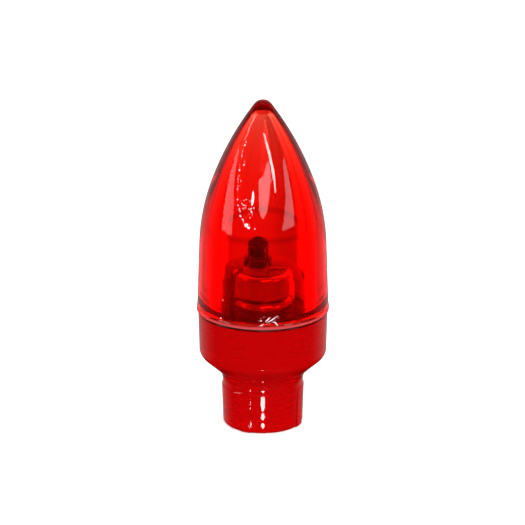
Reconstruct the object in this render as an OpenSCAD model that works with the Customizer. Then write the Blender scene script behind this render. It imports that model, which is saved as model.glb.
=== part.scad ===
// Lighted tyre valve cap: a clear ogive cover screwed into a round base, with three
// button cells, a small lamp and a vibration switch in a holder inside.
// Origin at the centre of the stem's bottom face, +Z up along the axis, millimetres.

/* [Base] */
// How far the body draws in from the flange to its lower rounding
body_draft = 0.12; // [0:0.01:0.3]
// Radius of the rounding between the body and the cone
body_round = 1.5; // [0.8:0.1:2]
// Slope of the cone under the body, from the axis
cone_angle = 48; // [40:1:55]
// Radius of the hollow between the cone and the neck
neck_round = 2.5; // [1:0.1:3]
// Diameter of the neck above the stem
neck_d = 10.98; // [10.6:0.02:11.2]
// Width of the bevel on the flange's rim
rim_bevel = 0.14; // [0.05:0.01:0.3]
// Height over which the stem's top edge steps in to the neck
stem_step = 0.2; // [0.1:0.05:0.3]
// Straight height of the neck
neck_straight = 0.35; // [0.2:0.05:0.5]
// Wall of the body round the threaded cup
cup_wall = 1.42; // [1.3:0.02:1.8]

/* [Stem] */
// How far the valve thread's bore reaches past the stem
stem_under = 1.1; // [0.9:0.1:1.4]
// Diameter of the stem at its top
stem_top_d = 11.24; // [11:0.02:12]
// Diameter of the stem at its foot
stem_foot_d = 10.86; // [10.6:0.02:11.2]
// Radius of the edge at the stem's foot
foot_round = 0.35; // [0.1:0.05:0.6]
// Number of grip ribs round the stem
rib_count = 4; // [2:1:8]
// Angle that each rib spans
rib_span = 15; // [8:1:20]
// How far a rib stands out of the stem
rib_proud = 0.2; // [0.1:0.05:0.3]
// Angle of the first rib from the +X axis
rib_start = 244; // [0:1:359]

/* [Valve socket] */
// Bore of the valve thread
valve_bore_d = 7.1; // [6.8:0.05:7.4]
// Depth of the valve thread's bore
valve_depth = 6.6; // [5.5:0.1:7]
// Width of the bevel at the socket's mouth
valve_bevel = 0.35; // [0.1:0.05:0.5]
// Height of the cone that closes the socket
valve_cone_h = 0.8; // [0.3:0.1:1]
// Thickness of the wall between the socket and the holder's seat
socket_wall = 1; // [0.8:0.05:1.4]

/* [Cover] */
// Height of the cover above the flange
cover_h = 29.6; // [28:0.1:36]
// How far the cover's lip stands out past the body
lip_proud = 0.2; // [0.1:0.02:0.3]
// Height of the lip
lip_h = 0.7; // [0.5:0.05:1.2]
// How far the lip stands out of the cover above it
lip_step = 0.08; // [0.02:0.01:0.12]
// How far the cover draws in from its lip to the shoulder
cover_draft = 0.3; // [0.1:0.02:0.5]
// Height of the shoulder above the flange
shoulder_h = 9.5; // [8:0.1:11]
// Radius of the ogive's lower arc
ogive_r = 28; // [24:0.5:34]
// Slope where the lower arc gives way to the upper one
ogive_angle = 19; // [16:0.5:22]
// Radius of the blunt tip
tip_round = 1.5; // [1:0.1:2]
// Gap between the cover and the flange
seam_gap = 0.05; // [0.02:0.01:0.1]

/* [Cover hollow] */
// Room between the lamp's top and the end of the straight bore
lamp_room = 1.65; // [1:0.05:2]
// Diameter of the flat at the hollow's top
hollow_tip_d = 1.8; // [1.4:0.1:3]
// Radius of the arc that the hollow follows from the bore up to its top
hollow_arc_r = 40; // [30:1:60]
// Thickness of the wall above the hollow's top
tip_wall = 2; // [1.6:0.1:3]

/* [Cover collar] */
// Length of the collar below the cover's shoulder
collar_l = 4.9; // [4:0.1:5.5]
// Wall of the collar round the bore
collar_wall = 1.5; // [1.2:0.05:1.8]
// Radial clearance of the thread
thread_clear = 0.08; // [0.04:0.01:0.1]
// Bevel at the collar's end
collar_bevel = 0.3; // [0.1:0.05:0.4]
// Free height below the collar
collar_room = 0.3; // [0.2:0.05:0.4]

/* [Seal ring] */
// Thickness of the seal ring
seal_t = 0.5; // [0.4:0.05:0.6]
// Clearance round the seal ring
seal_clear = 0.05; // [0.03:0.01:0.08]

/* [Cell holder] */
// Wall of the holder round the cells
holder_wall = 1.6; // [1.3:0.05:1.8]
// Clearance round the holder, in the cover's bore and in the base's seat
holder_clear = 0.1; // [0.05:0.01:0.15]
// Thickness of the holder's floor
holder_floor = 0.6; // [0.4:0.05:0.7]
// Depth of the seat for the holder's foot in the base
seat_depth = 2.65; // [2:0.05:3]
// Bevel at the holder's rim
holder_bevel = 0.2; // [0.1:0.05:0.3]
// Depth of the holder's rim below the top of the cells
holder_drop = 0.1; // [0:0.05:0.4]

/* [Cells] */
// Diameter of a button cell
cell_d = 7.9; // [7.6:0.05:8]
// Height of a button cell
cell_h = 3.6; // [3:0.05:3.8]
// Radius of a cell can's closed end
can_round = 0.6; // [0.3:0.05:0.7]
// Radius of a cell can's rolled edge beside the pole
roll_round = 0.3; // [0.1:0.05:0.4]
// Width of a cell's can outside its narrow pole
can_rim = 0.9; // [0.7:0.05:1.2]
// Height of the pole out of the can
pole_h = 0.25; // [0.1:0.05:0.4]
// Width of the seal groove between can and pole
groove_w = 0.25; // [0.1:0.05:0.4]
// Depth of that groove
groove_h = 0.3; // [0.1:0.05:0.5]
// Radial clearance round the cells
cell_clear = 0.15; // [0.05:0.05:0.2]

/* [Switch under the cells] */
// Thickness of the contact plate on the holder's floor
plate_t = 0.25; // [0.2:0.05:0.4]
// Height of the insulating ring
ring_h = 1.75; // [1.5:0.05:2.2]
// Wall of the insulating ring
ring_w = 1.0; // [0.6:0.1:1.4]
// Thickness of the pin's head
head_t = 0.3; // [0.2:0.05:0.4]
// Diameter of the switch pin
pin_d = 0.6; // [0.4:0.05:0.8]
// Length of the switch pin below its head
pin_l = 1.2; // [0.8:0.1:1.3]
// Mean diameter of the switch spring
spring_d = 2.2; // [1.8:0.1:2.6]
// Diameter of the spring's wire
spring_wire = 0.2; // [0.15:0.01:0.25]
// Height of the spring
spring_h = 1.45; // [1.2:0.05:1.5]
// Turns of the spring
spring_turns = 3.5; // [2:0.5:5]
// Steps of the wire in each turn
spring_steps = 16; // [12:1:24]

/* [Lamp] */
// Diameter of the lamp's lens
lamp_d = 3; // [2.8:0.05:3.2]
// Diameter of the lamp's foot flange
lamp_flange_d = 3.8; // [3.4:0.05:4]
// Height of the flange
lamp_flange_h = 1; // [0.6:0.1:1.2]
// Height of the lamp
lamp_h = 3.7; // [3.5:0.1:5.3]
// Height of the lamp's foot above the top cell
lamp_lift = 0.65; // [0.6:0.05:0.9]
// How far the lamp stands left of the axis
lamp_off = 0.65; // [0:0.05:0.8]
// Height of the lead frame inside the lens
frame_h = 2.1; // [2:0.05:2.4]
// Height of the part of the frame that carries the cup
frame_cup_h = 0.9; // [0.8:0.05:1.1]
// Height of the leads' inward step above the lamp's foot
jog_lift = 0.2; // [0.1:0.05:0.3]
// Thickness of the square leads
lead_t = 0.45; // [0.4:0.01:0.5]
// Distance between the two leads
lead_pitch = 2.54; // [2.2:0.01:2.6]
// Reach of the top lead from the axis
top_lead_reach = 3.4; // [2.6:0.1:3.6]
// Wall of the insulating sleeve on the side lead
sleeve_w = 0.42; // [0.3:0.02:0.42]
// Clearance of the sleeve in its slot in the holder, and from the lamp
sleeve_clear = 0.1; // [0.05:0.01:0.15]

/* [Hidden] */
$fn = 96;
// Overlap that keeps joined solids and cuts clean
eps = 0.02;
// Steps in each arc of an outline
arc_steps = 8;

// Cells in their holder, with the slot for the side lead
cell_count = 3;
chamber_r = cell_d / 2 + cell_clear;
holder_r = chamber_r + holder_wall;
sleeve_t = lead_t + 2 * sleeve_w;
slot_w = sleeve_t + 2 * sleeve_clear;
seat_z = valve_depth + valve_cone_h + socket_wall;
chamber_z = seat_z + holder_floor;
cells_z = chamber_z + plate_t + ring_h + head_t;
cells_top_z = cells_z + cell_count * cell_h;
holder_top = cells_top_z - holder_drop;

// Screw joint from the bore outwards: collar of the cover, cup and body of the base
bore_r = holder_r + holder_clear;
collar_r = bore_r + collar_wall;
cup_r = collar_r + thread_clear;
body_r = cup_r + cup_wall;
lip_r = body_r + lip_proud;
cover_r = lip_r - lip_step;
cup_z = seat_z + seat_depth;
collar_z = cup_z + collar_room;
cover_z = collar_z + collar_l;
base_h = cover_z - seam_gap;

// Seal ring under the cover's shoulder
seal_in_r = collar_r + seal_clear;
recess_r = seal_in_r + seal_t + seal_clear;
recess_top = cover_z + seal_t + seal_clear;

// Outline of the base: stem, neck, cone and body
stem_h = valve_depth - stem_under;
stem_top_r = stem_top_d / 2;
stem_foot_r = stem_foot_d / 2;
neck_r = neck_d / 2;
body_low_r = body_r - body_draft;
neck_z = stem_h + stem_step + neck_straight;
flare_r = neck_r + neck_round * (1 - cos(cone_angle));
flare_z = neck_z + neck_round * sin(cone_angle);
round_r = body_low_r - body_round * (1 - cos(cone_angle));
round_z = flare_z + (round_r - flare_r) / tan(cone_angle);
body_low_z = round_z + body_round * sin(cone_angle);

// Lamp
lamp_z = cells_top_z + lamp_lift;
lamp_r = lamp_d / 2;
lamp_x = -lamp_off;
lamp_top = lamp_z + lamp_h;

// Cover: top and hollow
cover_top = base_h + cover_h;
hollow_top = cover_top - tip_wall;
bore_top = lamp_top + lamp_room;

// Ogive: the lower arc from the shoulder, then an upper arc that ends in the tip
shoulder_z = base_h + shoulder_h;
shoulder_r = cover_r - cover_draft;
draft = atan(cover_draft / shoulder_h);
low_cz = shoulder_z - ogive_r * sin(draft);
low_cr = shoulder_r - ogive_r * cos(draft);
meet_z = low_cz + ogive_r * sin(ogive_angle);
meet_r = low_cr + ogive_r * cos(ogive_angle);
tip_z = cover_top - tip_round;
rise = meet_z - tip_z;
upper_r = (rise * rise + meet_r * meet_r - tip_round * tip_round)
    / (2 * (rise * sin(ogive_angle) + meet_r * cos(ogive_angle) - tip_round));
up_cz = meet_z - upper_r * sin(ogive_angle);
up_cr = meet_r - upper_r * cos(ogive_angle);
tip_angle = atan2(tip_z - up_cz, -up_cr);

// Hollow: an arc from its top to the bore, with its middle on the axis side
hollow_tip_r = hollow_tip_d / 2;
hollow_out = bore_r - hollow_tip_r;
hollow_drop = hollow_top - bore_top;
hollow_half = norm([hollow_out, hollow_drop]) / 2;
hollow_tilt = atan2(hollow_out, hollow_drop);
hollow_depth = sqrt(hollow_arc_r * hollow_arc_r - hollow_half * hollow_half);
hollow_span = asin(hollow_half / hollow_arc_r);
hollow_cr = (bore_r + hollow_tip_r) / 2 - hollow_depth * cos(hollow_tilt);
hollow_cz = (hollow_top + bore_top) / 2 - hollow_depth * sin(hollow_tilt);

// Leads
top_lead_x = lamp_x + lead_pitch / 2;
side_lead_x = lamp_x - lead_pitch / 2;
// The side lead runs over the top cell inside its sleeve, then down the slot
side_run_z = cells_top_z + sleeve_w;
side_drop_x = -(chamber_r + sleeve_w);
side_foot_z = chamber_z + plate_t;
// Lead frames inside the lens: their posts stand closer together than the leads
frame_top = lamp_z + frame_h;
post_off = lamp_r - lead_t;
jog_z = lamp_z + jog_lift;

// Points of an arc in the outline plane, radius first, then height
function arc(cr, cz, r, from, to) = [
    for (i = [0 : arc_steps])
        let (a = from + (to - from) * i / arc_steps)
        [cr + r * cos(a), cz + r * sin(a)]
];

function stem_outline() = concat(
    [[0, 0]],
    arc(stem_foot_r - foot_round, foot_round, foot_round, -90, 0),
    [[stem_top_r, stem_h], [neck_r, stem_h + stem_step]]
);

function body_outline() = concat(
    arc(neck_r + neck_round, neck_z, neck_round, 180, 180 - cone_angle),
    arc(body_low_r - body_round, body_low_z, body_round, -cone_angle, 0),
    [[body_r, base_h - rim_bevel], [body_r - rim_bevel, base_h], [0, base_h]]
);

// Outside of the cover from its mouth to its tip
function cover_outline() = concat(
    [
        [lip_r - rim_bevel, cover_z],
        [lip_r, cover_z + rim_bevel],
        [lip_r, cover_z + lip_h - rim_bevel],
        [cover_r, cover_z + lip_h]
    ],
    arc(low_cr, low_cz, ogive_r, draft, ogive_angle),
    arc(up_cr, up_cz, upper_r, ogive_angle, tip_angle),
    arc(0, tip_z, tip_round, tip_angle, 90)
);

// Hollow of the cover, from the tip down to the collar's end and up to the shoulder
function hollow_outline() = concat(
    [[0, hollow_top]],
    arc(hollow_cr, hollow_cz, hollow_arc_r, hollow_tilt + hollow_span, hollow_tilt - hollow_span),
    [
        [bore_r, collar_z + collar_bevel],
        [bore_r + collar_bevel, collar_z],
        [collar_r - collar_bevel, collar_z],
        [collar_r, collar_z + collar_bevel],
        [collar_r, recess_top],
        [recess_r, recess_top],
        [recess_r, cover_z]
    ]
);

module grip_rib(angle) {
    rotate([0, 0, angle - rib_span / 2])
        rotate_extrude(angle = rib_span)
            polygon([
                [stem_foot_r - foot_round - eps, 0],
                [stem_foot_r + rib_proud - foot_round, 0],
                [stem_foot_r + rib_proud, foot_round],
                [stem_top_r + rib_proud - stem_step, stem_h - stem_step],
                [stem_top_r - eps, stem_h],
                [stem_foot_r - foot_round - eps, stem_h]
            ]);
}

module valve_socket() {
    translate([0, 0, -eps])
        cylinder(h = valve_depth + eps, d = valve_bore_d);
    translate([0, 0, valve_depth - eps])
        cylinder(h = valve_cone_h, d1 = valve_bore_d, d2 = valve_bore_d / 2);
    translate([0, 0, -eps])
        cylinder(
            h = valve_bevel + eps,
            d1 = valve_bore_d + 2 * (valve_bevel + eps),
            d2 = valve_bore_d
        );
}

// Room for the cover's collar and, below it, for the holder's foot
module collar_cup() {
    translate([0, 0, cup_z])
        cylinder(h = base_h - cup_z + eps, r = cup_r);
    translate([0, 0, base_h - rim_bevel])
        cylinder(h = rim_bevel + eps, r1 = cup_r, r2 = cup_r + rim_bevel + eps);
    translate([0, 0, seat_z])
        cylinder(h = cup_z - seat_z + eps, r = bore_r);
}

module base() {
    color([0.72, 0.02, 0.05, 0.75])
        difference() {
            union() {
                rotate_extrude()
                    polygon(concat(stem_outline(), body_outline()));
                for (i = [0 : rib_count - 1])
                    grip_rib(rib_start + i * 360 / rib_count);
            }
            valve_socket();
            collar_cup();
        }
}

// Cup that holds the switch and the cells, with a slot for the side lead
module cell_holder() {
    color([0.85, 0.7, 0.68, 0.7])
        difference() {
            rotate_extrude()
                polygon([
                    [0, seat_z],
                    [holder_r - holder_bevel, seat_z],
                    [holder_r, seat_z + holder_bevel],
                    [holder_r, holder_top - holder_bevel],
                    [holder_r - holder_bevel, holder_top],
                    [0, holder_top]
                ]);
            translate([0, 0, chamber_z])
                cylinder(h = holder_top - chamber_z + eps, r = chamber_r);
            translate([-holder_r - eps, -slot_w / 2, chamber_z])
                cube([holder_r, slot_w, holder_top - chamber_z + eps]);
        }
}

module cover() {
    color([0.95, 0.08, 0.05, 0.6])
        rotate_extrude()
            polygon(concat(cover_outline(), hollow_outline()));
}

module seal_ring() {
    color([0.85, 0.35, 0.32])
        translate([0, 0, cover_z + seal_t / 2])
            rotate_extrude()
                translate([seal_in_r + seal_t / 2, 0])
                    circle(d = seal_t, $fn = 32);
}

// Flat disc on the holder's floor, with a tongue under the side lead
module contact_plate() {
    color([0.8, 0.78, 0.72])
        translate([0, 0, chamber_z])
            union() {
                cylinder(h = plate_t, r = cell_d / 2);
                translate([side_drop_x - lead_t, -lead_t / 2, 0])
                    cube([lead_t - side_drop_x, lead_t, plate_t]);
            }
}

module insulating_ring() {
    color([0.9, 0.9, 0.86])
        translate([0, 0, chamber_z + plate_t])
            difference() {
                cylinder(h = ring_h, r = cell_d / 2);
                translate([0, 0, -eps])
                    cylinder(h = ring_h + 2 * eps, r = cell_d / 2 - ring_w);
            }
}

// Round head under the lowest cell, with the pin that the spring swings against
module switch_pin() {
    color([0.83, 0.68, 0.35])
        union() {
            translate([0, 0, cells_z - head_t])
                cylinder(h = head_t, r = cell_d / 2 - cell_clear);
            translate([0, 0, cells_z - head_t - pin_l])
                cylinder(h = pin_l + eps, d = pin_d);
        }
}

// Centre of the spring's wire at a share of its length
function spring_point(share) = [
    spring_d / 2 * cos(share * spring_turns * 360),
    spring_d / 2 * sin(share * spring_turns * 360),
    side_foot_z + spring_wire / 2 + share * (spring_h - spring_wire)
];

function spring_ring(share, sides) = [
    for (k = [0 : sides - 1])
        let (a = share * spring_turns * 360, b = k * 360 / sides, w = spring_wire / 2)
        spring_point(share) + w * [cos(a) * cos(b), sin(a) * cos(b), sin(b)]
];

module switch_spring() {
    sides = 8;
    rings = round(spring_turns * spring_steps);
    points = [
        for (i = [0 : rings])
            for (p = spring_ring(i / rings, sides)) p
    ];
    walls = [
        for (i = [0 : rings - 1])
            for (k = [0 : sides - 1])
                let (m = (k + 1) % sides)
                for (f = [
                    [i * sides + k, i * sides + m, (i + 1) * sides + k],
                    [i * sides + m, (i + 1) * sides + m, (i + 1) * sides + k]
                ]) f
    ];
    start_cap = [[for (k = [sides - 1 : -1 : 0]) k]];
    end_cap = [[for (k = [0 : sides - 1]) rings * sides + k]];
    color([0.86, 0.86, 0.84])
        polyhedron(points = points, faces = concat(walls, start_cap, end_cap));
}

// One button cell: a can with rounded edges, a seal groove and a narrow pole below
module cell(index) {
    r = cell_d / 2;
    pole_r = r - can_rim;
    color([0.78, 0.78, 0.76])
        translate([0, 0, cells_z + index * cell_h])
            rotate_extrude()
                polygon(concat(
                    [
                        [0, 0],
                        [pole_r, 0],
                        [pole_r, pole_h + groove_h],
                        [pole_r + groove_w, pole_h + groove_h],
                        [pole_r + groove_w, pole_h]
                    ],
                    arc(r - roll_round, pole_h + roll_round, roll_round, -90, 0),
                    arc(r - can_round, cell_h - can_round, can_round, 0, 90),
                    [[0, cell_h]]
                ));
}

module cell_lower() {
    cell(0);
}

module cell_middle() {
    cell(1);
}

module cell_upper() {
    cell(2);
}

module lead_bar(x0, x1, z0, z1) {
    translate([x0, -lead_t / 2, z0])
        cube([x1 - x0, lead_t, z1 - z0]);
}

// Lead that lies on the top cell, with its post and flag inside the lens
module top_lead() {
    post_x = lamp_x + post_off;
    color([0.75, 0.75, 0.74])
        union() {
            lead_bar(
                top_lead_x - lead_t / 2, top_lead_x + lead_t / 2,
                cells_top_z, jog_z + lead_t
            );
            lead_bar(top_lead_x, top_lead_reach, cells_top_z, cells_top_z + lead_t);
            lead_bar(post_x - lead_t / 2, top_lead_x, jog_z, jog_z + lead_t);
            lead_bar(post_x - lead_t / 2, post_x + lead_t / 2, jog_z, frame_top);
            lead_bar(post_x - lead_t, post_x + lead_t / 2, frame_top - 2 * lead_t, frame_top);
        }
}

// Lead with the cup inside the lens, over the top cell and down the slot
module side_lead() {
    post_x = lamp_x - post_off;
    color([0.75, 0.75, 0.74])
        union() {
            lead_bar(
                side_lead_x - lead_t / 2, side_lead_x + lead_t / 2,
                side_run_z, jog_z + lead_t
            );
            lead_bar(side_lead_x, post_x + lead_t / 2, jog_z, jog_z + lead_t);
            lead_bar(post_x - lead_t / 2, post_x + lead_t / 2, jog_z, frame_top);
            lead_bar(post_x - lead_t / 2, lamp_x + lead_t / 2, frame_top - frame_cup_h, frame_top);
            lead_bar(side_drop_x - lead_t, side_lead_x, side_run_z, side_run_z + lead_t);
            lead_bar(side_drop_x - lead_t, side_drop_x, side_foot_z, side_run_z + lead_t);
        }
}

// Thin insulating tube over the side lead, with a mitred corner at the cell's edge
module lead_sleeve() {
    sleeve_x = side_drop_x - lead_t - sleeve_w;
    sleeve_end = lamp_x - lamp_flange_d / 2 - sleeve_clear;
    color([0.35, 0.33, 0.33])
        difference() {
            union() {
                translate([sleeve_x, -sleeve_t / 2, side_foot_z + lead_t])
                    cube([sleeve_t, sleeve_t, side_run_z + sleeve_w - side_foot_z]);
                translate([sleeve_x, -sleeve_t / 2, side_run_z - sleeve_w])
                    cube([sleeve_end - sleeve_x, sleeve_t, sleeve_t]);
            }
            side_lead();
        }
}

// Round-topped lens on a flange, moulded round both lead frames
module lamp_lens() {
    color([0.25, 0.3, 0.45, 0.8])
        difference() {
            translate([lamp_x, 0, 0])
                rotate_extrude()
                    polygon(concat(
                        [
                            [0, lamp_z],
                            [lamp_flange_d / 2, lamp_z],
                            [lamp_flange_d / 2, lamp_z + lamp_flange_h],
                            [lamp_r, lamp_z + lamp_flange_h]
                        ],
                        arc(0, lamp_top - lamp_r, lamp_r, 0, 90)
                    ));
            top_lead();
            side_lead();
        }
}

cover();
seal_ring();
base();
cell_holder();
contact_plate();
switch_spring();
insulating_ring();
switch_pin();
cell_lower();
cell_middle();
cell_upper();
lamp_lens();
top_lead();
side_lead();
lead_sleeve();
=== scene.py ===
import math
import random

import bpy
import bmesh
import numpy as np
from mathutils import Matrix, Vector


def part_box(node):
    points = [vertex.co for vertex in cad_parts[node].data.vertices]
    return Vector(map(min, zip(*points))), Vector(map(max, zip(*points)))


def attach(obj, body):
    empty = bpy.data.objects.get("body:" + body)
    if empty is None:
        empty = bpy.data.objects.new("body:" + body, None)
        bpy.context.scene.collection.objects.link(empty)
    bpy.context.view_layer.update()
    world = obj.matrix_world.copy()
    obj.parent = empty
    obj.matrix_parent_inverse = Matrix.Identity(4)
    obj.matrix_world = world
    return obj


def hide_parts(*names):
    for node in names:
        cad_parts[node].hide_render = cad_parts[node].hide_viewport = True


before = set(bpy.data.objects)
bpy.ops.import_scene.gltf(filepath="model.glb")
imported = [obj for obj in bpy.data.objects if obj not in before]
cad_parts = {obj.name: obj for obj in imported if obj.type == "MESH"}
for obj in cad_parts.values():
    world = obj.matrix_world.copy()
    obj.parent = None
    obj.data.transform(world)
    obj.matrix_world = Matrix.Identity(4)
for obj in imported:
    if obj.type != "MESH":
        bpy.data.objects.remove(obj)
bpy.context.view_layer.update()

MM = 0.001


# Sizes of the cap in millimetres, with the places of its pieces read from the frame

def top_of(node):
    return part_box(node)[1].z / MM


def foot_of(node):
    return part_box(node)[0].z / MM


def reach_of(node):
    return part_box(node)[1].x / MM


# Outer form of the base
FLANGE_Z = top_of("base")
BODY_R = reach_of("base")
BODY_LOW_R = 8.68
BODY_ROUND = 1.5
CONE_ANGLE = 48.0
NECK_ROUND = 2.5
NECK_R = 5.49
NECK_H = 0.35
RIM_BEVEL = 0.14

# Stem and its grip ribs
STEM_H = 5.5
STEM_STEP = 0.2
STEM_TOP_R = 5.62
STEM_FOOT_R = 5.43
STEM_EDGE_W = 0.04
STEM_EDGE_H = 0.05
FOOT_ROUND = 0.35
RIB_COUNT = 4
RIB_SPAN = 15.0
RIB_PROUD = 0.2
RIB_START = 244.0
RIB_END_H = 0.25
RIB_END_SHARE = 0.2

# Valve socket: thread of 32 turns to the inch
VALVE_CREST_R = 3.55
VALVE_ROOT_R = 3.86
VALVE_PITCH = 0.794
VALVE_DEPTH = 6.6
VALVE_CONE_H = 0.8
VALVE_BEVEL = 0.35

# Screw joint: the cover's collar in the cup of the base
COLLAR_R = 7.3
COLLAR_END = foot_of("cover")
COLLAR_BEVEL = 0.3
COLLAR_ROOM = 0.3
THREAD_DEPTH = 0.3
THREAD_PITCH = 0.75
THREAD_CLEAR = 0.08
THREAD_RUN_OUT = 0.4
SEAL_ROOM = 0.05

# Cells, and the holder that carries them in the base
CELL_R = reach_of("cell_lower")
CELL_H = top_of("cell_lower") - foot_of("cell_lower")
CELLS_TOP = top_of("cell_upper")
CHAMBER_R = CELL_R + 0.15
CHAMBER_Z = foot_of("contact_plate")
CHAMBER_EDGE = 0.08
SLOT_W = 1.49
HOLDER_R = reach_of("cell_holder")
HOLDER_TOP = top_of("cell_holder")
HOLDER_FOOT = foot_of("cell_holder")
HOLDER_BEVEL = 0.2
HOLDER_CLEAR = 0.1
HOLDER_GAP = 0.02

# Outside and hollow of the cover
COVER_Z = FLANGE_Z + 0.05
COVER_TOP = top_of("cover")
LIP_R = reach_of("cover")
LIP_H = 0.7
LIP_BAND = 0.45
COVER_R = 8.92
SHOULDER_R = 8.62
SHOULDER_Z = FLANGE_Z + 9.5
OGIVE_R = 28.0
OGIVE_ANGLE = 19.0
TIP_ROUND = 1.5
BORE_R = 5.8
BORE_TOP = FLANGE_Z + 11.9
HOLLOW_TIP_R = 0.9
HOLLOW_TOP = COVER_TOP - 2.0
HOLLOW_ARC_R = 40.0

# Lamp and leads
LAMP_LOW = foot_of("lamp_lens")
LAMP_TOP = top_of("lamp_lens")
LAMP_R = 1.5
LAMP_FLANGE_R = 1.9
LAMP_FLANGE_H = 1.0
LAMP_EDGE = 0.05
LAMP_X = reach_of("lamp_lens") - LAMP_FLANGE_R
LEAD_T = 0.45
LEAD_PITCH = 2.54
LEAD_BEND = 0.24
LEAD_EDGE = 0.06
LEAD_IN_LENS = 0.2
TOP_LEAD_REACH = reach_of("top_lead")
SLEEVE_W = 0.42
SLEEVE_BEND = 0.66
SLEEVE_EDGE = 0.5
FRAME_H = 2.1
FRAME_CUP_H = 0.9

# How far the marks of frost and of painted shade reach past their own faces, stop below the
# joint and start below an edge
MARK_ROOM = 0.1
CUP_ROOM = 0.3
JOINT_ROOM = 0.2
PAINTED_SHADE_REACH = 0.5

# How dull the moulded faces are, and how dark the painted shade in the joint's groove and in the
# bore is, from 0 to 1
THREAD_FROST = 1.0
LIP_FROST = 0.9
BORE_FROST = 0.15625
JOINT_GROOVE_SHADE = 1.0
BORE_PAINTED_SHADE = 0.12
BORE_TOP_PAINTED_SHADE = 0.5

# Dried glue on the cover, whose pale colour paints the glints of its drops. Places are azimuth
# from the front to the right, and height.
GLUE_SEED = 5
GLUE_FLATNESS = 0.5
GLUE_THREAD_END = 0.35
GLUE_RUN = [
    (-34.4, 41.1), (-35.6, 39.9), (-35.2, 38.7), (-33.6, 37.5), (-31.6, 36.0),
    (-29.2, 34.5), (-26.0, 33.1), (-22.0, 31.8), (-17.2, 31.0), (-12.4, 30.4),
]
RUN_BEADS = 4
RUN_SPREAD = 0.9
RUN_BEAD_R = (0.02, 0.1)
# Single drops, each with its radius
GLUE_DROPS = [
    (-12.4, 33.9, 0.07), (-9.4, 33.0, 0.08), (-11.6, 32.5, 0.1), (-16.0, 30.7, 0.26),
    (-13.6, 30.4, 0.18), (-7.6, 30.3, 0.07), (-27.6, 38.2, 0.08), (-39.2, 17.3, 0.1),
    (-37.2, 19.9, 0.06),
]
# Patches of fine drops: azimuths of both sides, both heights and how many
GLUE_SPRAY = [
    (-25.0, -10.0, 30.5, 34.0, 26),
    (-32.0, -26.0, 35.5, 39.5, 8),
    (-4.0, 14.0, 16.8, 18.2, 16),
]
SPRAY_BEAD_R = (0.02, 0.07)
# Drawn-out threads, each with its radius
GLUE_THREADS = [
    (0.15, [(-11.2, 35.1), (-10.8, 34.4), (-11.0, 33.8), (-11.5, 33.3)]),
    (0.065, [(-4.0, 16.8), (-1.6, 16.95), (0.8, 17.2)]),
    (0.065, [(2.0, 17.5), (4.4, 17.85), (6.4, 18.1)]),
    (0.065, [(3.6, 17.4), (8.0, 17.75), (12.4, 18.25)]),
    (0.065, [(8.0, 17.5), (10.8, 17.35), (12.8, 16.9), (10.8, 16.8)]),
]

# Camera of the photograph
VIEW_ELEVATION = 19.2
VIEW_DISTANCE = 0.5
VIEW_AIM = Vector((-0.05, 0.0, 22.8)) * MM
VIEW_LENS = 253.3

# Windows of the room: strength, then rows of height and the azimuths of both sides
WINDOW_R = 150.0
WINDOWS = {
    "left_window": (2.2, [
        (20.0, -79.0, -57.0), (62.0, -85.0, -60.0),
        (80.0, -92.0, -70.0), (102.0, -96.0, -86.0),
    ]),
    "front_window": (4.2, [
        (56.0, -2.0, 2.0), (68.0, -7.0, 9.0), (82.0, -8.5, 12.0),
        (112.0, -10.0, 20.0), (116.0, 0.0, 21.0), (136.0, 12.0, 20.0),
    ]),
    "right_window": (2.5, [
        (33.0, 35.0, 60.0), (75.0, 48.0, 66.0), (112.0, 61.0, 72.0),
    ]),
    "door_gap": (18.0, [
        (192.0, 3.0, 7.0), (150.0, 18.0, 27.0), (118.0, 25.0, 32.5), (92.0, 27.5, 30.0),
    ]),
    "left_gap": (4.0, [
        (126.0, -84.0, -77.0), (145.0, -83.0, -75.0),
        (158.0, -81.0, -74.0), (178.0, -70.0, -66.0),
    ]),
}

# Bright streaks on the floor: azimuth of the start, azimuth of the run and strength, then
# rows of distance and half the width
GLOW_LIFT = 0.05
FLOOR_GLOWS = {
    "front_glow": (0.0, 0.0, 22.0, [
        (6.4, 0.5), (8.0, 1.1), (9.5, 1.3), (13.0, 1.0), (18.0, 0.3),
    ]),
    "middle_glow": (0.0, 0.0, 22.0, [(3.6, 0.35), (4.6, 0.7), (5.7, 0.35)]),
    "near_glow": (0.0, 0.0, 22.0, [(1.3, 0.2), (2.0, 0.43), (2.7, 0.25)]),
    "side_glow": (-18.5, -37.0, 18.0, [(6.5, 0.3), (9.0, 0.5), (13.0, 0.3), (14.5, 0.1)]),
    "side_near_glow": (-18.5, -37.0, 18.0, [(1.4, 0.15), (2.2, 0.3), (3.2, 0.2)]),
}

# Black card in front of the neck, measured anticlockwise from the right
CARD_START = -130
CARD_STEP = 5
CARD_STEPS = 16
CARD_GAP = 0.15
CARD_R = 14.0
CARD_LIFT = 0.7

# Points round a turned piece, by its size
COLUMNS = 240
CELL_COLUMNS = 160
LENS_COLUMNS = 120
CUP_COLUMNS = 64

# Steps in which straight walls and bends are cut
THREAD_STEP = 0.05
VALVE_STEP = 0.06
WALL_STEP = 0.6
SIDE_STEP = 1.0
BEND_STEPS = 8

# How near to a wall a point counts as on it
EXACT = 1e-6
ON_FACE = 0.01


def arc(centre_r, centre_z, radius, start, end, steps=16):
    """Points of an arc in the outline plane, radius first, then height."""
    angles = np.radians(np.linspace(start, end, steps + 1))
    return [
        (centre_r + radius * math.cos(a), centre_z + radius * math.sin(a)) for a in angles
    ]


def wall(start, end, step):
    """A straight stretch of outline cut into steps, so that a shape can follow it."""
    (r0, z0), (r1, z1) = start, end
    count = max(1, round(math.hypot(r1 - r0, z1 - z0) / step))
    shares = np.linspace(0, 1, count + 1)
    return [(r0 + (r1 - r0) * s, z0 + (z1 - z0) * s) for s in shares]


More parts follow.
